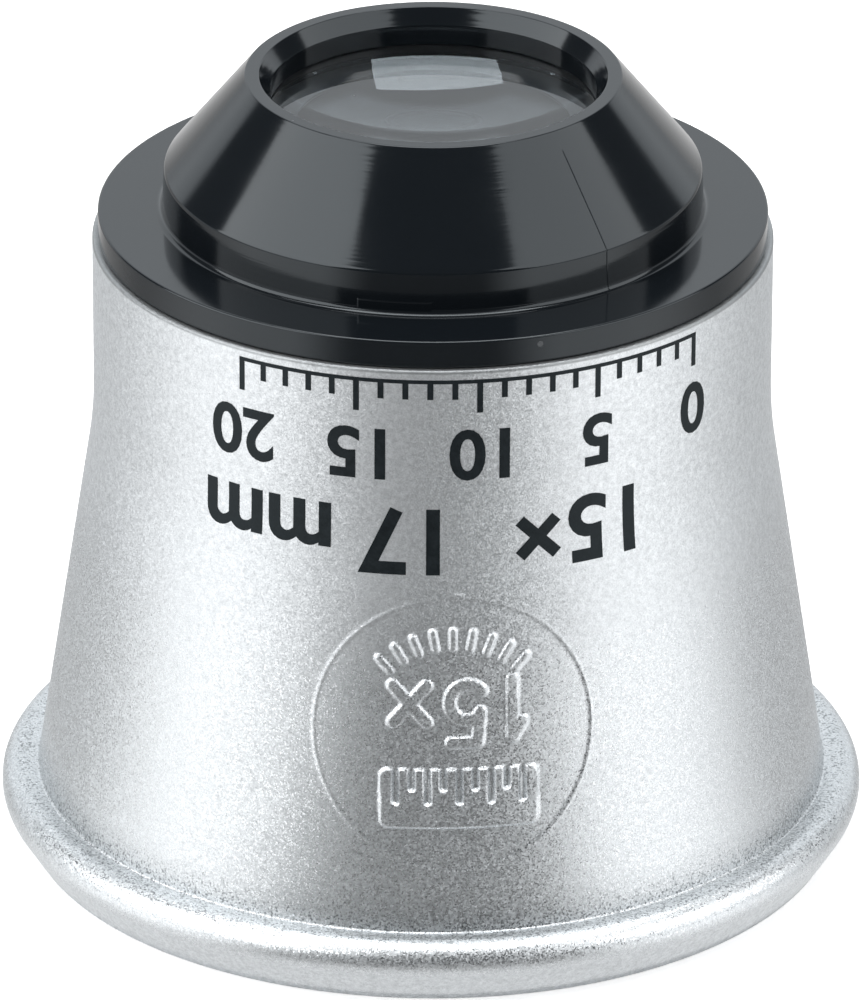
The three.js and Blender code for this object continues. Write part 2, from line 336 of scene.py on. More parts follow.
def silverLacquer():
    values = {"Metallic": lacquer["metallic"], "IOR": plasticIor}
    material, tree, shader = newMaterial("silver_lacquer", values)
    grain = placeGroup(tree, "grain", lacquer["grain"])
    place = objectPlace(tree)
    height = addMath("DIVIDE", objectAxes(tree)["Z"], mm)
    calm = addRange(height, *lacquer["calmTop"], smooth=True)
    calm = addMath("MAXIMUM", calm, addRange(height, *lacquer["calmFoot"]))
    # Each flake in the lacquer has a tone and a polish of its own and leans its own way
    flake = addNode(tree, "TexVoronoi", {"Vector": place, "Scale": lacquer["flakes"]}).outputs["Color"]
    own = addNode(tree, "SeparateColor", {"Color": flake}).outputs
    tone = addRange(grain["Mottle"], *lacquer["mottle"])
    share = addRange(calm, 0.0, 1.0, *lacquer["flakeTone"])
    tone = addBlend(share, tone, own["Green"])
    colour = addMix(tone, lacquer["shade"], lacquer["light"])
    low, high = [addRange(calm, 0.0, 1.0, *ends) for ends in zip(lacquer["rough"], lacquer["calm"])]
    rough = addRange(own["Red"], 0.0, 1.0, low, high)
    # The lacquer lies thin and speckled at the foot of the flare. On the collar's top edge under the flange
    # the colour is darkened: painted shade, where the lacquer also ends
    near = addProduct(addRange(height, *lacquer["thinFoot"]), addRange(height, *lacquer["thinEnd"]))
    colour = addMix(addProduct(near, lacquer["thinShare"]), colour, lacquer["thin"])
    patchy = addMath("ADD", addNoise(place, lacquer["specks"], 2.0), addProduct(near, lacquer["speckGain"]))
    thin = addRange(patchy, *lacquer["speckRange"])
    colour = addMix(addProduct(thin, near), colour, lacquer["thin"])
    # Painted shade on the collar's top edge, under the flange
    colour = addMix(addRange(height, *lacquer["shadedEdge"]), colour, lacquer["edge"])
    lean = addNode(tree, "VectorMath", {0: flake, 1: (0.5, 0.5, 0.5)}, operation="SUBTRACT").outputs[0]
    sockets = {0: lean, 1: [lacquer["flakeTilt"]] * 3, 2: addNode(tree, "NewGeometry").outputs["Normal"]}
    lean = addNode(tree, "VectorMath", sockets, operation="MULTIPLY_ADD").outputs[0]
    lean = addNode(tree, "VectorMath", {0: lean}, operation="NORMALIZE").outputs[0]
    fine = addBump(grain["Height"], lacquer["grainDepth"], lean)
    peel = addBump(addNoise(place, lacquer["peels"], 1.0), lacquer["peelDepth"], fine)
    feed(shader, {"Base Color": colour, "Roughness": rough, "Normal": peel})
    return material


gloss = {
    "colour": (0.0042, 0.0056, 0.0072, 1),
    "shine": (0.88, 0.955, 1.0, 1),
    "dust": (0.06, 0.063, 0.066, 1),
    "roughness": (0.085, 0.14),
    "smears": 260.0,  # patches per metre in which the polish changes
    "smearRange": (0.3, 0.7),
    "ripple": 0.0001,  # depth of the mould's turning marks
    "ripplePitch": 0.2,
    "rippleWander": 9.0,
    "wanders": 90.0,
    "streak": 0.006,
    "streaks": 7000.0,
    "streakRange": (0.35, 0.65),
    "markStrength": 0.5,
    "weldAzimuth": 39.6,
    "weldWidth": 0.038,
    "weldDepth": 0.013,
    "weldRoughness": 0.35,
    "weldDrift": 0.12,
    "drifts": 220.0,
    "weldFoot": (27.86, 27.95),  # heights between which the line starts
    "weldTop": (33.4, 32.7),  # and those between which it fades out
}


def glossPlastic():
    values = {"Metallic": 0.0, "IOR": plasticIor, "Specular Tint": gloss["shine"]}
    material, tree, shader = newMaterial("black_gloss_plastic", values)
    place, axes = objectPlace(tree), objectAxes(tree)
    specks = placeGroup(tree, "dust", dust["onGloss"])["Mask"]
    # The weld line runs straight up one side; a slow noise makes it drift
    azimuth = addMath("ARCTAN2", axes["X"], addProduct(axes["Y"], -1.0))
    away = addMath("SUBTRACT", azimuth, math.radians(gloss["weldAzimuth"]))
    radius = addMath("DIVIDE", axes["X"], addMath("SINE", azimuth))
    drift = addNoise(place, gloss["drifts"], 1.0)
    drift = addRange(drift, 0.0, 1.0, -gloss["weldDrift"] * mm, gloss["weldDrift"] * mm)
    across = addMath("ADD", addProduct(away, radius), drift)
    weld = addRange(addMath("ABSOLUTE", across), 0.0, gloss["weldWidth"] * mm, 1.0, 0.0)
    for low, high in (gloss["weldFoot"], gloss["weldTop"]):
        weld = addProduct(weld, addRange(axes["Z"], low * mm, high * mm))
    colour = addMix(specks, gloss["colour"], gloss["dust"])
    smear = addNoise(place, gloss["smears"], 3.0)
    rough = addRange(smear, *gloss["smearRange"], *gloss["roughness"])
    rough = addMath("MAXIMUM", rough, addProduct(specks, dust["roughness"]))
    rough = addMath("MAXIMUM", rough, addProduct(weld, gloss["weldRoughness"]))
    # Faint rings from the turned mould, and streaks of polish in patches
    turns = addProduct(axes["Z"], fullTurn / (gloss["ripplePitch"] * mm))
    wander = addProduct(addNoise(place, gloss["wanders"], 1.0), gloss["rippleWander"])
    rings = addMath("SINE", addMath("ADD", turns, wander))
    normal = addBump(rings, gloss["ripple"], strength=gloss["markStrength"])
    streaks = addProduct(addLineNoise(axes["Z"], gloss["streaks"]), addRange(smear, *gloss["streakRange"]))
    normal = addBump(streaks, gloss["streak"], normal, gloss["markStrength"])
    normal = addBump(weld, gloss["weldDepth"], normal, invert=True)
    feed(shader, {"Base Color": colour, "Roughness": rough, "Normal": normal})
    return material


grained = {
    "mottle": (0.35, 0.65),  # the grain's range, from dark to pale
    "polish": (0.3, 0.7),
}


def grainedPlastic(name, finish, values):
    # Mottled colour and polish over a fine grain
    material, tree, shader = newMaterial(name, {"Metallic": 0.0, **values})
    grain = placeGroup(tree, "grain", finish["grain"])
    tone = addRange(grain["Mottle"], *grained["mottle"])
    rough = addRange(grain["Mottle"], *grained["polish"], *finish["roughness"])
    colour = addMix(tone, finish["dark"], finish["pale"])
    normal = addBump(grain["Height"], finish["grainDepth"])
    feed(shader, {"Base Color": colour, "Roughness": rough, "Normal": normal})
    return material


satin = {
    "dark": (0.010, 0.0105, 0.011, 1),
    "pale": (0.024, 0.025, 0.026, 1),
    "roughness": (0.38, 0.6),
    "grain": {"Fineness": 5200.0, "Coarseness": 0.2},
    "grainDepth": 0.012,
}


def satinPlastic():
    # Spark-eroded black inside the cup
    return grainedPlastic("black_satin_plastic", satin, {"IOR": plasticIor})


anodised = {
    "dark": (0.012, 0.012, 0.013, 1),
    "pale": (0.03, 0.031, 0.033, 1),
    "metallic": 0.4,
    "roughness": (0.32, 0.5),
    "grain": {"Fineness": 7000.0, "Coarseness": 0.25},
    "mottle": (0.7, 1.3),  # range of the grain and the turning lines together
    "lines": 9000.0,
    "lineRange": (0.3, 0.7),
    "lineDepth": 0.004,
}


def blackMetal():
    # Turned rings, blackened against stray light
    values = {"Metallic": anodised["metallic"], "IOR": plasticIor}
    material, tree, shader = newMaterial("black_ring_metal", values)
    grain = placeGroup(tree, "grain", anodised["grain"])
    axes = objectAxes(tree)
    flat = addNode(tree, "CombineXYZ", {"X": axes["X"], "Y": axes["Y"]}).outputs["Vector"]
    radius = addNode(tree, "VectorMath", {0: flat}, operation="LENGTH").outputs["Value"]
    lines = addLineNoise(addMath("ADD", radius, axes["Z"]), anodised["lines"])
    tone = addRange(addMath("ADD", lines, grain["Mottle"]), *anodised["mottle"])
    rough = addRange(lines, *anodised["lineRange"], *anodised["roughness"])
    colour = addMix(tone, anodised["dark"], anodised["pale"])
    normal = addBump(lines, anodised["lineDepth"])
    feed(shader, {"Base Color": colour, "Roughness": rough, "Normal": normal})
    return material


glass = {
    "clear": (0.87, 0.95, 1.0, 1),
    "shine": (0.93, 0.97, 1.0, 1),
    "dusty": (0.75, 0.75, 0.75, 1),
    "ior": 1.52,
    "open": 0.996,  # the rest is a film of dust
}


def lensGlass():
    material, tree, shader = newMaterial("lens_glass", {
        "Metallic": 0.0,
        "Transmission Weight": glass["open"],
        "IOR": glass["ior"],
        "Specular Tint": glass["shine"],
    })
    specks = placeGroup(tree, "dust", dust["onGlass"])["Mask"]
    colour = addMix(specks, glass["clear"], glass["dusty"])
    feed(shader, {"Base Color": colour, "Roughness": addProduct(specks, dust["roughness"])})
    return material


ink = {
    "dark": (0.003, 0.0045, 0.006, 1),
    "pale": (0.009, 0.012, 0.0145, 1),
    "roughness": (0.42, 0.6),
    "grain": {"Fineness": 9000.0, "Coarseness": 0.3},
    "grainDepth": 0.004,
    "shine": (0.8, 0.95, 1.0, 1),
    "shineLevel": 0.32,
    "ior": 1.45,
}


def printInk():
    values = {"IOR": ink["ior"], "Specular IOR Level": ink["shineLevel"], "Specular Tint": ink["shine"]}
    return grainedPlastic("print_ink", ink, values)


groups = {"grain": grainGroup(), "dust": dustGroup()}
finishes = {
    "lacquer": silverLacquer(),
    "gloss": glossPlastic(),
    "satin": satinPlastic(),
    "metal": blackMetal(),
    "glass": lensGlass(),
    "ink": printInk(),
}
print("finishes made: %d" % len(finishes))


# Eye cup

cup = {
    "waist": 14.0,  # radius of the straight collar
    "kneeHeight": 18.8,
    "kneeBlend": 20,
    "kneeSpan": 4,  # more than the height over which the knee bends
    "kneeSteps": 14,
    "flareFoot": (16.48, 2.75),
    "ledgeFillet": 0.1,
    "beadCentre": (17.12, 1.92),
    "beadRound": 0.9,
    "beadLipAngle": -30,
    "beadStart": 4,  # degrees past the lip at which the round begins
    "beadSteps": 24,
    "lipEdge": 0.05,
    "eyeFace": 16.97,
    "faceEdge": 0.15,
    "eyeMouth": 15.1,
    "eyeEdge": 0.45,
    "paintEnd": 0.12,  # height in the mouth's round where the lacquer ends
    "collarEdge": 0.12,
    "collarMouth": 0.3,
    "mouthEdge": 0.05,
    "kneeInside": 3,
    "threadRoot": 12.7,
    "bore": 12.2,
    "relief": 21.47,
    "threadPitch": 1,
    "threadStart": 22.82,
    "threadTurns": 3.25,
    "roundSteps": 6,
    "columns": 180,
}
cup["slope"] = (cup["flareFoot"][0] - cup["waist"]) / (cup["kneeHeight"] - cup["flareFoot"][1])
cup["lean"] = math.atan(cup["slope"])
cup["kneeReach"] = cup["kneeBlend"] * math.tan(cup["lean"] / 2)


def cupRadius(height):
    # Outside of the cup from the flare up to the collar, also for arrays
    foot, knee = cup["flareFoot"], cup["kneeHeight"]
    cone = foot[0] - cup["slope"] * (height - foot[1])
    top = knee + cup["kneeReach"]
    drop = np.clip(top - height, 0, cup["kneeSpan"])
    arc = cup["waist"] + cup["kneeBlend"] - np.sqrt(cup["kneeBlend"] ** 2 - drop ** 2)
    low = knee - cup["kneeReach"] * math.cos(cup["lean"])
    return np.where(height < low, cone, np.where(height < top, arc, cup["waist"]))


# The medallion moulded on the cone, seen upright with the collar at the bottom
badge = {
    "azimuth": 3.4,
    "height": 11.05,
    "radius": 5.78,
    "tilt": 0.03,  # left edge stands proud, right edge lies deep
    "sink": 0.01,
    "stepWidth": 0.06,
    "strokeHeight": 0.105,
    "strokeSide": 0.15,
    "figureStroke": 0.5,
    "figureHeight": 2.95,
    "figureWidth": 1.86,
    "oneFlag": (-0.42, 0.24),  # end of the one's flag: mm from its stem, and a share of its height
    "fiveLine": ((0.44, 0.5), (-0.34, 0.5), (-0.42, -0.02)),  # shares of a figure's width and height
    "bowlPlace": (-0.04, -0.19),
    "bowlRadii": (0.54, 0.31),
    "bowlArc": (128, -142),
    "bowlSteps": 16,
    "timesSize": (1.86, 2.05),
    "onePlace": (-2.42, -1.05),
    "fivePlace": (-0.52, -0.93),
    "timesPlace": (1.76, -1.35),
    "lineHeight": 0.022,  # fine raised line round the edge
    "lineWidth": 0.07,
    "tickRadius": (3.72, 4.42),
    "tickStroke": 0.3,
    "tickSpread": 43,
    "ticks": 9,
    "ruleCentre": (-0.23, 2.66),
    "ruleSize": (6.5, 2.5),
    "ruleCorner": 0.35,
    "slotWidth": 0.24,
    "slotSink": 0.07,
    "slotShares": (0.32, 0.55),  # lengths of the short and the long slots, as shares of the plate's height
    "slots": 9,
    "nubPlace": (0.18, 5.9),
    "nubSize": (0.65, 0.22),
    "nubShare": 0.5,
    "patchAzimuths": (-22, 28),
    "patchHeights": (5.0, 17.1),
    "patchMargins": (0.6, 0.1),  # coarse cone below and above the patch
    "cell": 0.065,
}


def strokeDistance(across, along, line):
    nearest = np.full(across.shape, np.inf)
    for (x0, y0), (x1, y1) in zip(line, line[1:]):
        lengthSquared = (x1 - x0) ** 2 + (y1 - y0) ** 2
        share = np.clip(((across - x0) * (x1 - x0) + (along - y0) * (y1 - y0)) / lengthSquared, 0, 1)
        distance = np.hypot(across - x0 - share * (x1 - x0), along - y0 - share * (y1 - y0))
        nearest = np.minimum(nearest, distance)
    return nearest


def figureLines():
    # Centre lines of a one, a five and a times sign, upright
    stroke = badge["figureStroke"]
    width, height = badge["figureWidth"] - stroke, badge["figureHeight"] - stroke
    flag, share = badge["oneFlag"]
    one = [(flag, height * share), (0, height / 2), (0, -height / 2)]
    x, y = badge["bowlPlace"]
    wide, tall = badge["bowlRadii"]
    angles = np.radians(np.linspace(*badge["bowlArc"], badge["bowlSteps"] + 1))
    bowl = [(x + wide * math.cos(angle), y + tall * math.sin(angle)) for angle in angles]
    five = [(across * width, along * height) for across, along in [*badge["fiveLine"], *bowl]]
    halfWide, halfTall = [(size - stroke) / 2 for size in badge["timesSize"]]
    rising = [(-halfWide, -halfTall), (halfWide, halfTall)]
    falling = [(-halfWide, halfTall), (halfWide, -halfTall)]
    placed = ((one, "onePlace"), (five, "fivePlace"), (rising, "timesPlace"), (falling, "timesPlace"))
    return [[(x + badge[key][0], y + badge[key][1]) for x, y in line] for line, key in placed]


def tickLines():
    # A fan of short ticks where an arc of marks stands, on the collar's side
    turns = np.radians(np.linspace(-badge["tickSpread"], badge["tickSpread"], badge["ticks"]))
    return [[(reach * math.sin(turn), -reach * math.cos(turn)) for reach in badge["tickRadius"]]
            for turn in turns]


def ruleRelief(across, along):
    # A small rule as a raised plate, and the long and short slots cut into one side of it
    x, y = badge["ruleCentre"]
    width, height = badge["ruleSize"]
    corner = badge["ruleCorner"]
    overWide = np.abs(across - x) - width / 2 + corner
    overTall = np.abs(along - y) - height / 2 + corner
    distance = np.hypot(np.maximum(overWide, 0), np.maximum(overTall, 0))
    distance += np.minimum(np.maximum(overWide, overTall), 0)
    slots = []
    for number in range(1, badge["slots"] + 1):
        place = x - width / 2 + width * number / (badge["slots"] + 1)
        reach = height * badge["slotShares"][number % 2]
        slots.append([(place, y - height), (place, y - height / 2 + reach)])
    return softStep(corner - distance), strokes(across, along, slots, badge["slotWidth"])


def softStep(inside):
    # 1 where the value is well above zero, 0 where it is well below
    share = np.clip(inside / badge["strokeSide"] + 0.5, 0, 1)
    return share * share * (3 - 2 * share)


def strokes(across, along, lines, width):
    return softStep(width / 2 - np.min([strokeDistance(across, along, line) for line in lines], axis=0))


def medallionRelief(across, along):
    # Height over the cone
    radius = np.hypot(across, along)
    inside = np.clip((badge["radius"] - radius) / badge["stepWidth"] + 0.5, 0, 1)
    relief = inside * (badge["tilt"] * across / badge["radius"] - badge["sink"])
    fromLine = (radius - badge["radius"]) / badge["lineWidth"]
    relief += badge["lineHeight"] * np.exp(-fromLine ** 2)
    raised = np.maximum(strokes(across, along, figureLines(), badge["figureStroke"]),
                        strokes(across, along, tickLines(), badge["tickStroke"]))
    plate, slots = ruleRelief(across, along)
    raised = np.maximum(raised, plate * (1 - slots))
    relief -= badge["slotSink"] * plate * slots
    (x, y), (width, height) = badge["nubPlace"], badge["nubSize"]
    nub = np.clip(1 - ((across + x) / width * 2) ** 2 - ((along + y) / height * 2) ** 2, 0, 1)
    return relief + badge["strokeHeight"] * np.maximum(raised, badge["nubShare"] * np.sqrt(nub))


def flareBand(low, high):
    # The cone between two heights, with a fine grid let into it where the medallion stands
    columns = cup["columns"]
    stepAngle = 360 / columns
    first, last = [round(azimuth / stepAngle) for azimuth in badge["patchAzimuths"]]
    patchLow, patchHigh = badge["patchHeights"]
    middle = (patchLow + patchHigh) / 2
    fine = math.ceil(math.radians(stepAngle) * float(cupRadius(middle)) / badge["cell"])
    rows = math.ceil((patchHigh - patchLow) / badge["cell"]) + 1
    heights = np.linspace(patchLow, patchHigh, rows)[None, :]
    azimuths = np.linspace(first * stepAngle, last * stepAngle, (last - first) * fine + 1)
    azimuths = np.radians(azimuths)[:, None]
    radii = cupRadius(heights)
    across = -(azimuths - math.radians(badge["azimuth"])) * radii
    along = -(heights - badge["height"]) / math.cos(cup["lean"]) + 0 * azimuths
    relief = medallionRelief(across, along)
    outward, upward = relief * math.cos(cup["lean"]), relief * math.sin(cup["lean"])
    patch = onRound(radii + outward, azimuths, heights + upward)
    rings = np.array([low, patchLow, patchHigh, high])[None, :]
    around = np.radians(np.arange(columns) * stepAngle)[:, None]
    coarse = onRound(cupRadius(rings), around, rings)
    points = np.concatenate([coarse.reshape(-1, 3), patch.reshape(-1, 3)])
    ringCount = rings.size
    start = columns * ringCount
    faces = [[index + start for index in face] for face in gridFaces(len(azimuths), rows, False)]
    inPatch = set(number % columns for number in range(first, last))
    for column in range(columns):
        here, beside = column * ringCount, (column + 1) % columns * ringCount
        if column in inPatch:
            number = (column - first) % columns * fine
            bottom = [start + (number + step) * rows for step in range(fine, -1, -1)]
            top = [start + (number + step) * rows + rows - 1 for step in range(fine + 1)]
            faces.append([here, beside] + bottom)
            faces.append(top + [beside + 3, here + 3])
            continue
        leftSide, rightSide = [here + 2, here + 1], [beside + 1, beside + 2]
        if (column + 1) % columns in inPatch:
            rightSide = [start + row for row in range(rows)]
        if (column - 1) % columns in inPatch:
            leftSide = [start + (len(azimuths) - 1) * rows + row for row in range(rows - 1, -1, -1)]
        faces.append([here, beside, beside + 1, here + 1])
        faces.append(leftSide + rightSide)
        faces.append([here + 2, beside + 2, beside + 3, here + 3])
    return points, faces


def eyeCup():
    columns = cup["columns"]
    beadX, beadZ = cup["beadCentre"]
    lipAngle = math.radians(cup["beadLipAngle"])
    lip = (beadX + cup["beadRound"] * math.cos(lipAngle), beadZ + cup["beadRound"] * math.sin(lipAngle))
    low = badge["patchHeights"][0] - badge["patchMargins"][0]
    high = badge["patchHeights"][1] + badge["patchMargins"][1]
    beadStart = cup["beadLipAngle"] + cup["beadStart"]
    bead = arcOutline(cup["beadCentre"], cup["beadRound"], beadStart, 90, cup["beadSteps"])
    ledge = roundedOutline([
        (beadX, beadZ + cup["beadRound"]),
        (*cup["flareFoot"], "ledgeFillet"),
        (float(cupRadius(low)), low),
    ], cup)
    kneeTop = cup["kneeHeight"] + cup["kneeReach"]
    knee = [(float(cupRadius(height)), height) for height in np.linspace(high, kneeTop, cup["kneeSteps"])]
    threadHigh = cupTop - cup["collarMouth"]
    collar = roundedOutline([
        ("waist", kneeTop),
        ("waist", cupTop, "collarEdge"),
        (cup["threadRoot"] + cup["collarMouth"], cupTop, "mouthEdge"),
        ("threadRoot", threadHigh),
    ], cup)
    threadLow = cup["relief"] + cup["threadRoot"] - cup["bore"]
    thread = threadBand(threadLow, threadHigh, cup["threadRoot"], cup["bore"],
                        cup["threadPitch"], cup["threadStart"], cup["threadTurns"], columns)
    inside = roundedOutline([
        ("threadRoot", threadLow),
        ("bore", "relief"),
        ("bore", "kneeHeight", "kneeInside"),
        ("eyeMouth", 0, "eyeEdge"),
        ("eyeFace", 0, "faceEdge"),
        (*lip, "lipEdge"),
        tuple(bead[1]),
    ], cup)
    paintEnd = next(index for index, point in enumerate(inside) if point[1] < cup["paintEnd"])
    bands = [
        (*turnedBand(bead + ledge[1:], columns), 0),
        (*flareBand(low, high), 0),
        (*turnedBand(knee + collar[1:], columns), 0),
        (*thread, 1),
        (*turnedBand(inside[:paintEnd + 1], columns), 1),
        (*turnedBand(inside[paintEnd:-1] + [bead[0]], columns), 0),
    ]
    makePiece("eye_cup_shell", bands, ["lacquer", "satin"], "cup", "eye_cup")


eyeCup()


# Printed marks and raised plates that follow a round surface

prints = {
    "lift": 0.012,
    "depth": 0.03,
    "scaleMiddle": 7.85,  # azimuth
    "scaleLength": 20,
    "scaleSteps": 20,
    "baseHeight": 26.28,
    "baseStroke": 0.16,
    "tickStroke": 0.24,
    "shortTick": 0.85,
    "longTick": 1.45,
    "longEvery": 5,
    "numeralFoot": 24.1,  # height on the cup of the foot of the numerals, which stand on their heads
    "numeralSize": 2.25,
    "powerFoot": 20.65,
    "powerSize": 2.9,
    "powerMiddle": 2.5,  # along the scale from its middle
    "boldness": 0.022,
    "curveSteps": 5,
    "cell": 0.25,  # size of the cells with which flat shapes bend
    "weldReach": 1e-4,  # in the typeface's own units
}


def wrapSheet(flat, faces, surface, top, bottom):
    # flat points (x, y) go on the surface as a thin closed skin between two heights over it
    points = np.concatenate([surface(flat[:, 0], flat[:, 1], lift) for lift in (top, bottom)])
    count = len(flat)
    edges = {}
    for face in faces:
        for start, end in zip(face, face[1:] + face[:1]):
            edges[(start, end)] = edges.get((end, start), 0) + 1
    walls = [[start, start + count, end + count, end] for start, end in edges if (end, start) not in edges]
    return points, faces + [[index + count for index in reversed(face)] for face in faces] + walls


def flatBar(left, right, low, high, cell=prints["cell"]):
    across = np.linspace(left, right, math.ceil((right - left) / cell) + 1)
    along = np.linspace(low, high, math.ceil((high - low) / cell) + 1)
    points = np.stack(np.meshgrid(across, along, indexing="ij"), -1).reshape(-1, 2)
    return points, gridFaces(len(across), len(along), False)


def flatText(words, height):
    # Blender's own typeface, cut into cells so that it can bend
    cell = prints["cell"]
    curve = bpy.data.curves.new("words", "FONT")
    curve.body, curve.align_x, curve.align_y = words, "CENTER", "BOTTOM_BASELINE"
    curve.offset, curve.resolution_u = prints["boldness"], prints["curveSteps"]
    holder = bpy.data.objects.new("words", curve)
    mesh = bpy.data.meshes.new_from_object(holder)
    work = bmesh.new()
    work.from_mesh(mesh)
    bmesh.ops.remove_doubles(work, verts=work.verts, dist=prints["weldReach"])
    places = np.array([vertex.co[:2] for vertex in work.verts])
    scale = height / (places[:, 1].max() - places[:, 1].min())
    middle = (places[:, 0].max() + places[:, 0].min()) / 2
    shift = Vector((middle, places[:, 1].min(), 0))
    for vertex in work.verts:
        vertex.co = (vertex.co - shift) * scale
    halfWidth = (places[:, 0].max() - middle) * scale
    for axis, reach in ((0, halfWidth), (1, height)):
        normal = Vector((1 - axis, axis, 0))
        for number in range(-math.ceil(reach / cell), math.ceil(reach / cell) + 1):
            geometry = work.verts[:] + work.edges[:] + work.faces[:]
            bmesh.ops.bisect_plane(work, geom=geometry, plane_co=normal * number * cell, plane_no=normal)
    work.verts.index_update()
    points = np.array([vertex.co[:2] for vertex in work.verts])
    faces = [[vertex.index for vertex in face.verts] for face in work.faces]
    work.free()
    bpy.data.objects.remove(holder)
    bpy.data.curves.remove(curve)
    bpy.data.meshes.remove(mesh)
    return points, faces


def cupPrint():
    def surface(across, along, lift):
        azimuth = math.radians(prints["scaleMiddle"]) - across / cup["waist"]
        height = prints["baseHeight"] - along
        return onRound(cupRadius(height) + lift, azimuth, height)

    half, edge = prints["scaleLength"] / 2, prints["tickStroke"] / 2
    sheets = [flatBar(-half - edge, half + edge, 0, prints["baseStroke"])]
    for step in range(prints["scaleSteps"] + 1):
        across = -half + prints["scaleLength"] * step / prints["scaleSteps"]
        reach = prints["shortTick"] if step % prints["longEvery"] else prints["longTick"]
        sheets.append(flatBar(across - edge, across + edge, prints["baseStroke"] / 2, reach))
        if step % prints["longEvery"] == 0:
            points, faces = flatText(str(step), prints["numeralSize"])
            sheets.append((points + [across, prints["baseHeight"] - prints["numeralFoot"]], faces))
    points, faces = flatText("15\u00d7  17 mm", prints["powerSize"])
    sheets.append((points + [prints["powerMiddle"], prints["baseHeight"] - prints["powerFoot"]], faces))
    bands = [wrapSheet(points, faces, surface, prints["lift"], -prints["depth"]) for points, faces in sheets]
    makePiece("printed_scale", bands, ["ink"], "cup")


cupPrint()


# Lens head

head = {
    "seat": 26.69,
    "flangeRadius": 13.76,
    "flangeThickness": 1.15,
    "flangeEdge": 0.09,
    "noseFoot": 11.12,
    "creaseRadius": 11.04,
    "creaseHeight": 29.6,
    "creaseRound": 0.26,
    "footFillet": 0.25,
    "topRadius": 7.7,
    "topEdge": 0.07,
    "countersink": 7.14,
    "countersinkEdge": 0.05,
    "countersinkFoot": (6.68, 33.06, 0.06),
    "lensSeat": 32.2,
    "lipEdge": 0.04,
    "bore": 7.05,
    "skirt": 12.05,
    "skirtCrest": 12.55,
    "skirtInside": 10.9,
    "skirtEnd": 21.82,
    "skirtChamfer": 0.3,
    "skirtEdges": (0.05, 0.15),
    "seatFillet": 0.15,
    "threadStart": 22.32,
    "threadGap": 0.3,  # plain skirt between the thread and the seat
    "hollow": 9.62,
    "hollowTop": 29.0,
    "hollowRound": 0.3,
    "sleeve": 8.55,
    "sleeveEnd": 23.07,
    "sleeveEdges": (0.12, 0.04),
    "fineRoot": 7.4,
    "fineCrest": 7.1,
    "fineStart": 23.42,
    "fineGaps": (0.08, 0.2),  # plain bore below and above the fine thread
    "ringTop": 24.97,
    "roundSteps": 6,
    "columns": 180,
}
head["flangeTop"] = head["seat"] + head["flangeThickness"]


def lensBarrel():
    columns = head["columns"]
    boreLow = head["ringTop"] + head["fineRoot"] - head["bore"]
    threadHigh = head["seat"] - head["threadGap"]
    threadLow = head["skirtEnd"] + head["skirtChamfer"]
    fineLow = head["sleeveEnd"] + head["fineGaps"][0]
    fineHigh = head["ringTop"] - head["fineGaps"][1]
    top = roundedOutline([
        ("fineRoot", fineHigh),
        ("fineRoot", "ringTop"),
        ("bore", boreLow),
        ("bore", "lensSeat"),
        (head["countersinkFoot"][0], "lensSeat", "lipEdge"),
        head["countersinkFoot"],
        ("countersink", headTop, "countersinkEdge"),
        ("topRadius", headTop, "topEdge"),
        ("creaseRadius", "creaseHeight", "creaseRound"),
        ("noseFoot", "flangeTop", "footFillet"),
        ("flangeRadius", "flangeTop", "flangeEdge"),
        ("flangeRadius", "seat", "flangeEdge"),
        ("skirt", "seat", "seatFillet"),
        ("skirt", threadHigh),
    ], head)
    inside = roundedOutline([
        ("skirt", threadLow),
        (head["skirt"] - head["skirtChamfer"], "skirtEnd", head["skirtEdges"][0]),
        ("skirtInside", "skirtEnd", head["skirtEdges"][1]),
        ("skirtInside", "seat", "hollowRound"),
        ("hollow", "flangeTop", "hollowRound"),
        ("hollow", "hollowTop", "hollowRound"),
        ("sleeve", "hollowTop", "hollowRound"),
        ("sleeve", "sleeveEnd", head["sleeveEdges"][0]),
        ("fineRoot", "sleeveEnd", head["sleeveEdges"][1]),
        ("fineRoot", fineLow),
    ], head)
    bands = [
        turnedBand(top, columns),
        threadBand(threadLow, threadHigh, head["skirt"], head["skirtCrest"],
                   cup["threadPitch"], head["threadStart"], cup["threadTurns"], columns),
        turnedBand(inside, columns),
        threadBand(fineLow, fineHigh, head["fineRoot"], head["fineCrest"],
                   ring["pitch"], head["fineStart"], ring["turns"], columns),
    ]
    makePiece("lens_head", bands, ["gloss"], "head", "lens_barrel")


gate = {
    "azimuth": -8,
    "width": 3.05,
    "height": 0.5,
    "foot": 27.9,
    "proud": 0.012,
    "sunk": 0.05,
    "edgeRound": 0.06,
    "cell": 0.03,
}


def gateWitness():
    # Trimmed sprue mark low on the nose
    def surface(across, along, lift):
        height = gate["foot"] + along
        share = (height - head["flangeTop"]) / (head["creaseHeight"] - head["flangeTop"])
        radius = head["noseFoot"] + (head["creaseRadius"] - head["noseFoot"]) * share
        edge = np.minimum(gate["width"] / 2 - np.abs(across), np.minimum(along, gate["height"] - along))
        rounded = lift * np.sqrt(np.clip(edge / gate["edgeRound"], 0, 1)) if lift > 0 else lift
        return onRound(radius + rounded, math.radians(gate["azimuth"]) + across / head["noseFoot"], height)

    points, faces = flatBar(-gate["width"] / 2, gate["width"] / 2, 0, gate["height"], gate["cell"])
    bands = [wrapSheet(points, faces, surface, gate["proud"], -gate["sunk"])]
    makePiece("gate_witness", bands, ["gloss"], "head")


ring = {
    "bore": 6.0,
    "radius": 7.0,
    "crest": 7.3,
    "low": 23.37,
    "height": 1.6,
    "pitch": 0.6,
    "start": 23.72,
    "turns": 1.5,
    "notchWidth": 1.2,
    "notchDepth": 0.7,
    "plainEnd": 0.12,  # height of the side without thread at either end
    "outerEdge": 0.06,
    "boreEdges": (0.15, 0.1),
    "roundSteps": 4,
    "columns": 120,
}


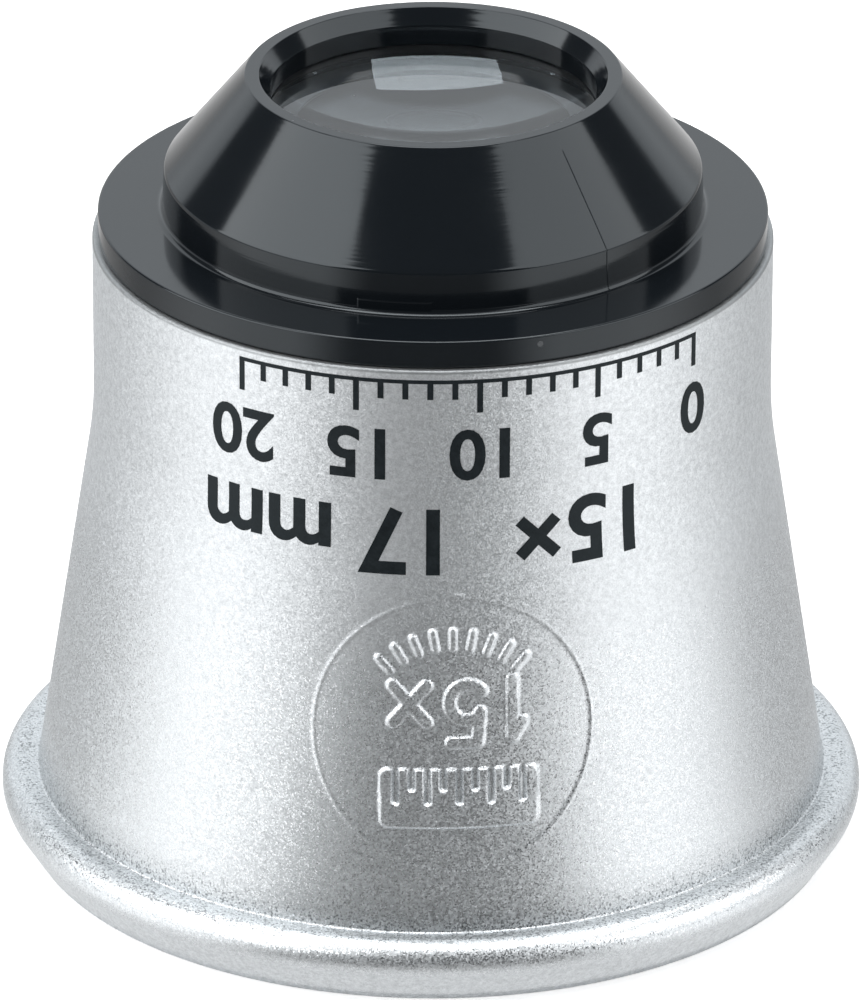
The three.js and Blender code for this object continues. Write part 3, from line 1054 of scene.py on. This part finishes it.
def retainingRing():
    low, high = ring["low"], ring["low"] + ring["height"]
    threadLow, threadHigh = low + ring["plainEnd"], high - ring["plainEnd"]
    outline = roundedOutline([
        ("radius", threadHigh),
        ("radius", high, "outerEdge"),
        ("bore", high, ring["boreEdges"][1]),
        ("bore", low, ring["boreEdges"][0]),
        ("radius", low, "outerEdge"),
        ("radius", threadLow),
    ], ring)
    bands = [
        turnedBand(outline, ring["columns"]),
        threadBand(threadLow, threadHigh, ring["radius"], ring["crest"],
                   ring["pitch"], ring["start"], ring["turns"], ring["columns"]),
    ]
    piece = makePiece("retaining_ring_fine", bands, ["metal"], "head", "retaining_ring")
    # Two spanner notches are cut with a bar laid across the eye side
    bar = bpy.data.meshes.new("notch_bar")
    work = bmesh.new()
    size = Vector((2 * ring["crest"] + 1, ring["notchWidth"], 2 * ring["notchDepth"])) * mm
    place = Matrix.Translation((0, 0, low * mm)) @ Matrix.Diagonal(size).to_4x4()
    bmesh.ops.create_cube(work, size=1, matrix=place)
    work.to_mesh(bar)
    work.free()
    cutter = addObject("notch_bar", bar)
    cut = piece.modifiers.new("notches", "BOOLEAN")
    cut.operation, cut.object, cut.solver = "DIFFERENCE", cutter, "EXACT"
    bpy.context.view_layer.update()
    notched = bpy.data.meshes.new_from_object(piece.evaluated_get(bpy.context.evaluated_depsgraph_get()))
    piece.modifiers.remove(cut)
    bpy.data.objects.remove(cutter)
    piece.data = notched
    notched.set_sharp_from_angle(angle=math.radians(join["sharpAngle"]))


lensBarrel()
gateWitness()
retainingRing()


# Lens stack

lens = {
    "radius": 7,
    "edge": 1.5,
    "bevel": 0.12,
    "edgeRound": 0.04,  # also of the rings between the lenses
    "roundSteps": 3,
    "sharpAngle": 25,
    "front": (19.6, 30.67, -1),  # dome radius, height where the dome starts, 1 for a dome upwards
    "rear": (19.6, 26.5, 1),
    "stop": (5.6, 29.91, 30.16),  # bore radius, underside and top
    "spacer": (6.3, 26.78, 29.88),
    "domeSteps": 40,
    "columns": 128,
}


def domedLens(node, curve, rim, direction):
    # The side of the glass is painted black
    radius, edge, bevel = lens["radius"], lens["edge"], lens["bevel"]
    rimHeight = math.sqrt(curve ** 2 - radius ** 2)
    edgeAngle = math.asin((radius - bevel / 2) / curve)
    angles = np.linspace(0, edgeAngle, lens["domeSteps"])
    dome = [(curve * math.sin(angle), curve * math.cos(angle) - rimHeight) for angle in angles]
    corners = [(radius, -bevel, "edgeRound"), (radius, -edge, bevel), (radius - 2 * bevel, -edge)]
    side = roundedOutline([dome[-1], *corners], lens)
    flat = [tuple(side[-1]), (0, -edge)]
    bands = []
    for outline, material in ((dome, 0), (side, 1), (flat, 0)):
        outline = [(across, rim + direction * height) for across, height in outline]
        bands.append((*turnedBand(outline, lens["columns"]), material))
    finishNames = ["glass", "metal"]
    makePiece(node + "_fine", bands, finishNames, "optics", node, lens["sharpAngle"])


def flatRing(node, inner, low, high):
    middle = (inner, (low + high) / 2)
    corners = [(inner, low), (lens["radius"], low), (lens["radius"], high), (inner, high)]
    rounds = [(*corner, "edgeRound") for corner in corners]
    outline = roundedOutline([middle, *rounds, middle], lens)
    bands = [turnedBand(outline, lens["columns"])]
    makePiece(node + "_fine", bands, ["metal"], "optics", node)


domedLens("front_lens", *lens["front"])
domedLens("rear_lens", *lens["rear"])
flatRing("aperture_stop", *lens["stop"])
flatRing("spacer_ring", *lens["spacer"])


# Floor, studio and camera

studio = {
    "floorReach": 20,  # metres
    "floorColour": (0.72, 0.72, 0.72, 1),
    "floorRoughness": 0.9,
    "floorGlow": 0.45,
    "wallLevel": 1.05,
    "darkLevel": 0.08,
    "wallTint": (0.955, 1.0, 1.035),
    "ambient": 0.35,
    "wallHalfWidth": (35, 47),
    "wallTop": (46, 56),
    "lowWallHalfWidth": (49, 53),
    "lowWallTop": (12, 20),
    "wallFoot": (1, 8),  # heights between which the wall brightens
    "wallFootLevel": 0.6,
    "lowBand": (7, 13),
    "bandGap": (55, 40),  # the band leaves out the front
    "bandLevel": 0.6,
    "lampDistance": 0.6,  # metres
    "softboxes": {  # azimuth, elevation, width and height in metres, radiance
        "softbox_left": (-71, 34, 0.665, 0.46, 3.2),
        "softbox_right": (71, 34, 0.665, 0.46, 2.2),
        "softbox_top": (186, 83, 0.45, 0.34, 6.0),
        "softbox_front": (0, 72, 0.5, 0.15, 1.8),
    },
}


def stagePiece(name, points, faces, material):
    mesh = bpy.data.meshes.new(name)
    mesh.from_pydata(points, [], faces)
    mesh.materials.append(material)
    piece = addObject(name, mesh)
    return piece


def whiteFloor():
    values = {"Roughness": studio["floorRoughness"], "Base Color": studio["floorColour"]}
    material, tree, shader = newMaterial("floor_white", values)
    glow = addProduct(addNode(tree, "LightPath").outputs["Is Camera Ray"], studio["floorGlow"])
    feed(shader, {"Emission Strength": 1, "Emission Color": addMix(glow, (0, 0, 0, 1), (1, 1, 1, 1))})
    reach = studio["floorReach"]
    corners = [(-reach, -reach, 0), (reach, -reach, 0), (reach, reach, 0), (-reach, reach, 0)]
    stagePiece("floor", corners, [(0, 1, 2, 3)], material)


sheet = {
    "reach": (0.0172, 20.0),  # inner and outer radius, metres, as all lengths here
    "height": 0.0002,
    "front": 0.14,
    "side": 1.42,
    "back": 0.42,
    "behind": 0.78,
    "near": 0.8,  # under the bead
    "nearReach": (0.0185, 0.0235),
    "turn": 20,  # close to the cup the back begins this much earlier
    "turnReach": (0.025, 0.06),
    "middle": -2.5,
    "frontEdge": (20, 44),  # azimuths from the middle over which the front turns into the side
    "backEdge": (68, 110),
    "behindEdge": (136, 165),
    "columns": 48,
}


def reflectionSheet():
    # A glowing sheet just above the floor that only reflections see, a painted reflection of the studio: dark
    # in front, bright at the sides, grey behind
    material, tree, shader = newMaterial("reflection_sheet", {"Base Color": (0, 0, 0, 1), "Roughness": 1.0})
    axes = objectAxes(tree)
    azimuth = addMath("ARCTAN2", axes["X"], addProduct(axes["Y"], -1.0))
    azimuth = addMath("ABSOLUTE", addMath("SUBTRACT", azimuth, math.radians(sheet["middle"])))
    squares = [addProduct(axes[axis], axes[axis]) for axis in "XY"]
    radius = addMath("SQRT", addMath("ADD", *squares))
    turn = addRange(radius, *sheet["turnReach"], math.radians(sheet["turn"]), 0.0)
    turned = addMath("ADD", azimuth, turn)
    level = sheet["front"]
    for place, edge, beyond in (
            (azimuth, "frontEdge", "side"),
            (turned, "backEdge", "back"),
            (azimuth, "behindEdge", "behind")):
        share = addRange(place, *np.radians(sheet[edge]), smooth=True)
        level = addBlend(share, level, sheet[beyond])
    share = addRange(radius, *sheet["nearReach"], smooth=True)
    level = addBlend(share, sheet["near"], level)
    feed(shader, {"Emission Strength": 1, "Emission Color": level})
    columns = sheet["columns"]
    azimuths = np.arange(columns) * fullTurn / columns
    rims = onRound(np.array(sheet["reach"])[:, None], azimuths[None, :], sheet["height"])
    faces = [(i, i + columns, (i + 1) % columns + columns, (i + 1) % columns) for i in range(columns)]
    piece = stagePiece("reflection_sheet", rims.reshape(-1, 3).tolist(), faces, material)
    piece.visible_camera = piece.visible_diffuse = piece.visible_transmission = piece.visible_shadow = False


def wallMask(behind, rise, halfWidth, top):
    # 1 within so many degrees of straight behind and below a height, fading between two values of each
    near, far = np.cos(np.radians(halfWidth))
    return addProduct(addRange(behind, far, near, smooth=True), lowMask(rise, top))


def lowMask(rise, top):
    return addRange(rise, *np.sin(np.radians(top)), 1.0, 0.0, smooth=True)


def studioWorld():
    world = bpy.data.worlds.new("studio")
    world.use_nodes = True
    scene.world = world
    tree = world.node_tree
    axes = addNode(tree, "SeparateXYZ", {"Vector": addNode(tree, "TexCoord").outputs["Generated"]}).outputs
    rise = axes["Z"]
    level = addMath("SQRT", addMath("SUBTRACT", 1.0, addProduct(rise, rise)))
    behind = addMath("DIVIDE", axes["Y"], level)
    wall = wallMask(behind, rise, studio["wallHalfWidth"], studio["wallTop"])
    lowWall = wallMask(behind, rise, studio["lowWallHalfWidth"], studio["lowWallTop"])
    foot = np.sin(np.radians(studio["wallFoot"]))
    foot = addRange(rise, *foot, studio["wallFootLevel"], 1.0, smooth=True)
    wall = addProduct(addMath("MAXIMUM", wall, lowWall), foot)
    clear, shut = -np.cos(np.radians(studio["bandGap"]))
    band = addProduct(lowMask(rise, studio["lowBand"]), studio["bandLevel"])
    band = addProduct(band, addRange(behind, shut, clear, smooth=True))
    dark, bright = [[level * part for part in studio["wallTint"]] + [1]
                    for level in (studio["darkLevel"], studio["wallLevel"])]
    mirrored = addMix(addMath("MAXIMUM", wall, band), dark, bright)
    path = addNode(tree, "LightPath").outputs
    sharp = addMath("MAXIMUM", path["Is Glossy Ray"], path["Is Transmission Ray"])
    strength = addMix(sharp, (studio["ambient"],) * 3 + (1,), mirrored)
    strength = addMix(path["Is Camera Ray"], strength, (1, 1, 1, 1))
    feed(tree.nodes["Background"], {"Strength": 1, "Color": strength})


def softbox(name, azimuth, elevation, width, height, radiance):
    light = bpy.data.lights.new(name, "AREA")
    light.shape, light.size, light.size_y = "RECTANGLE", width, height
    light.energy = radiance * math.pi * width * height
    lamp = addObject(name, light)
    turn, rise = math.radians(azimuth), math.radians(elevation)
    aim = Vector((math.sin(turn) * math.cos(rise), -math.cos(turn) * math.cos(rise), math.sin(rise)))
    lamp.location = aim * studio["lampDistance"]
    lamp.rotation_euler = aim.to_track_quat("Z", "Y").to_euler()
    lamp.visible_camera = False


shot = {
    "target": (-0.06, 0, 14.48),
    "distance": 441.5,
    "elevation": 25.04,
    "roll": 0.2,
    "lens": 382.3,
    "clip": (0.01, 100),  # metres
}


def placeCamera():
    camera = addObject("camera", bpy.data.cameras.new("camera"))
    camera.data.lens = shot["lens"]
    camera.data.clip_start, camera.data.clip_end = shot["clip"]
    rise = math.radians(shot["elevation"])
    back = Vector((0, -math.cos(rise), math.sin(rise)))
    camera.location = (Vector(shot["target"]) + back * shot["distance"]) * mm
    turn = back.to_track_quat("Z", "Y").to_matrix() @ Matrix.Rotation(math.radians(shot["roll"]), 3, "Z")
    camera.rotation_euler = turn.to_euler()
    scene.camera = camera


whiteFloor()
reflectionSheet()
studioWorld()
for name, values in studio["softboxes"].items():
    softbox(name, *values)
placeCamera()
scene.view_settings.view_transform = "Standard"
print("studio ready")
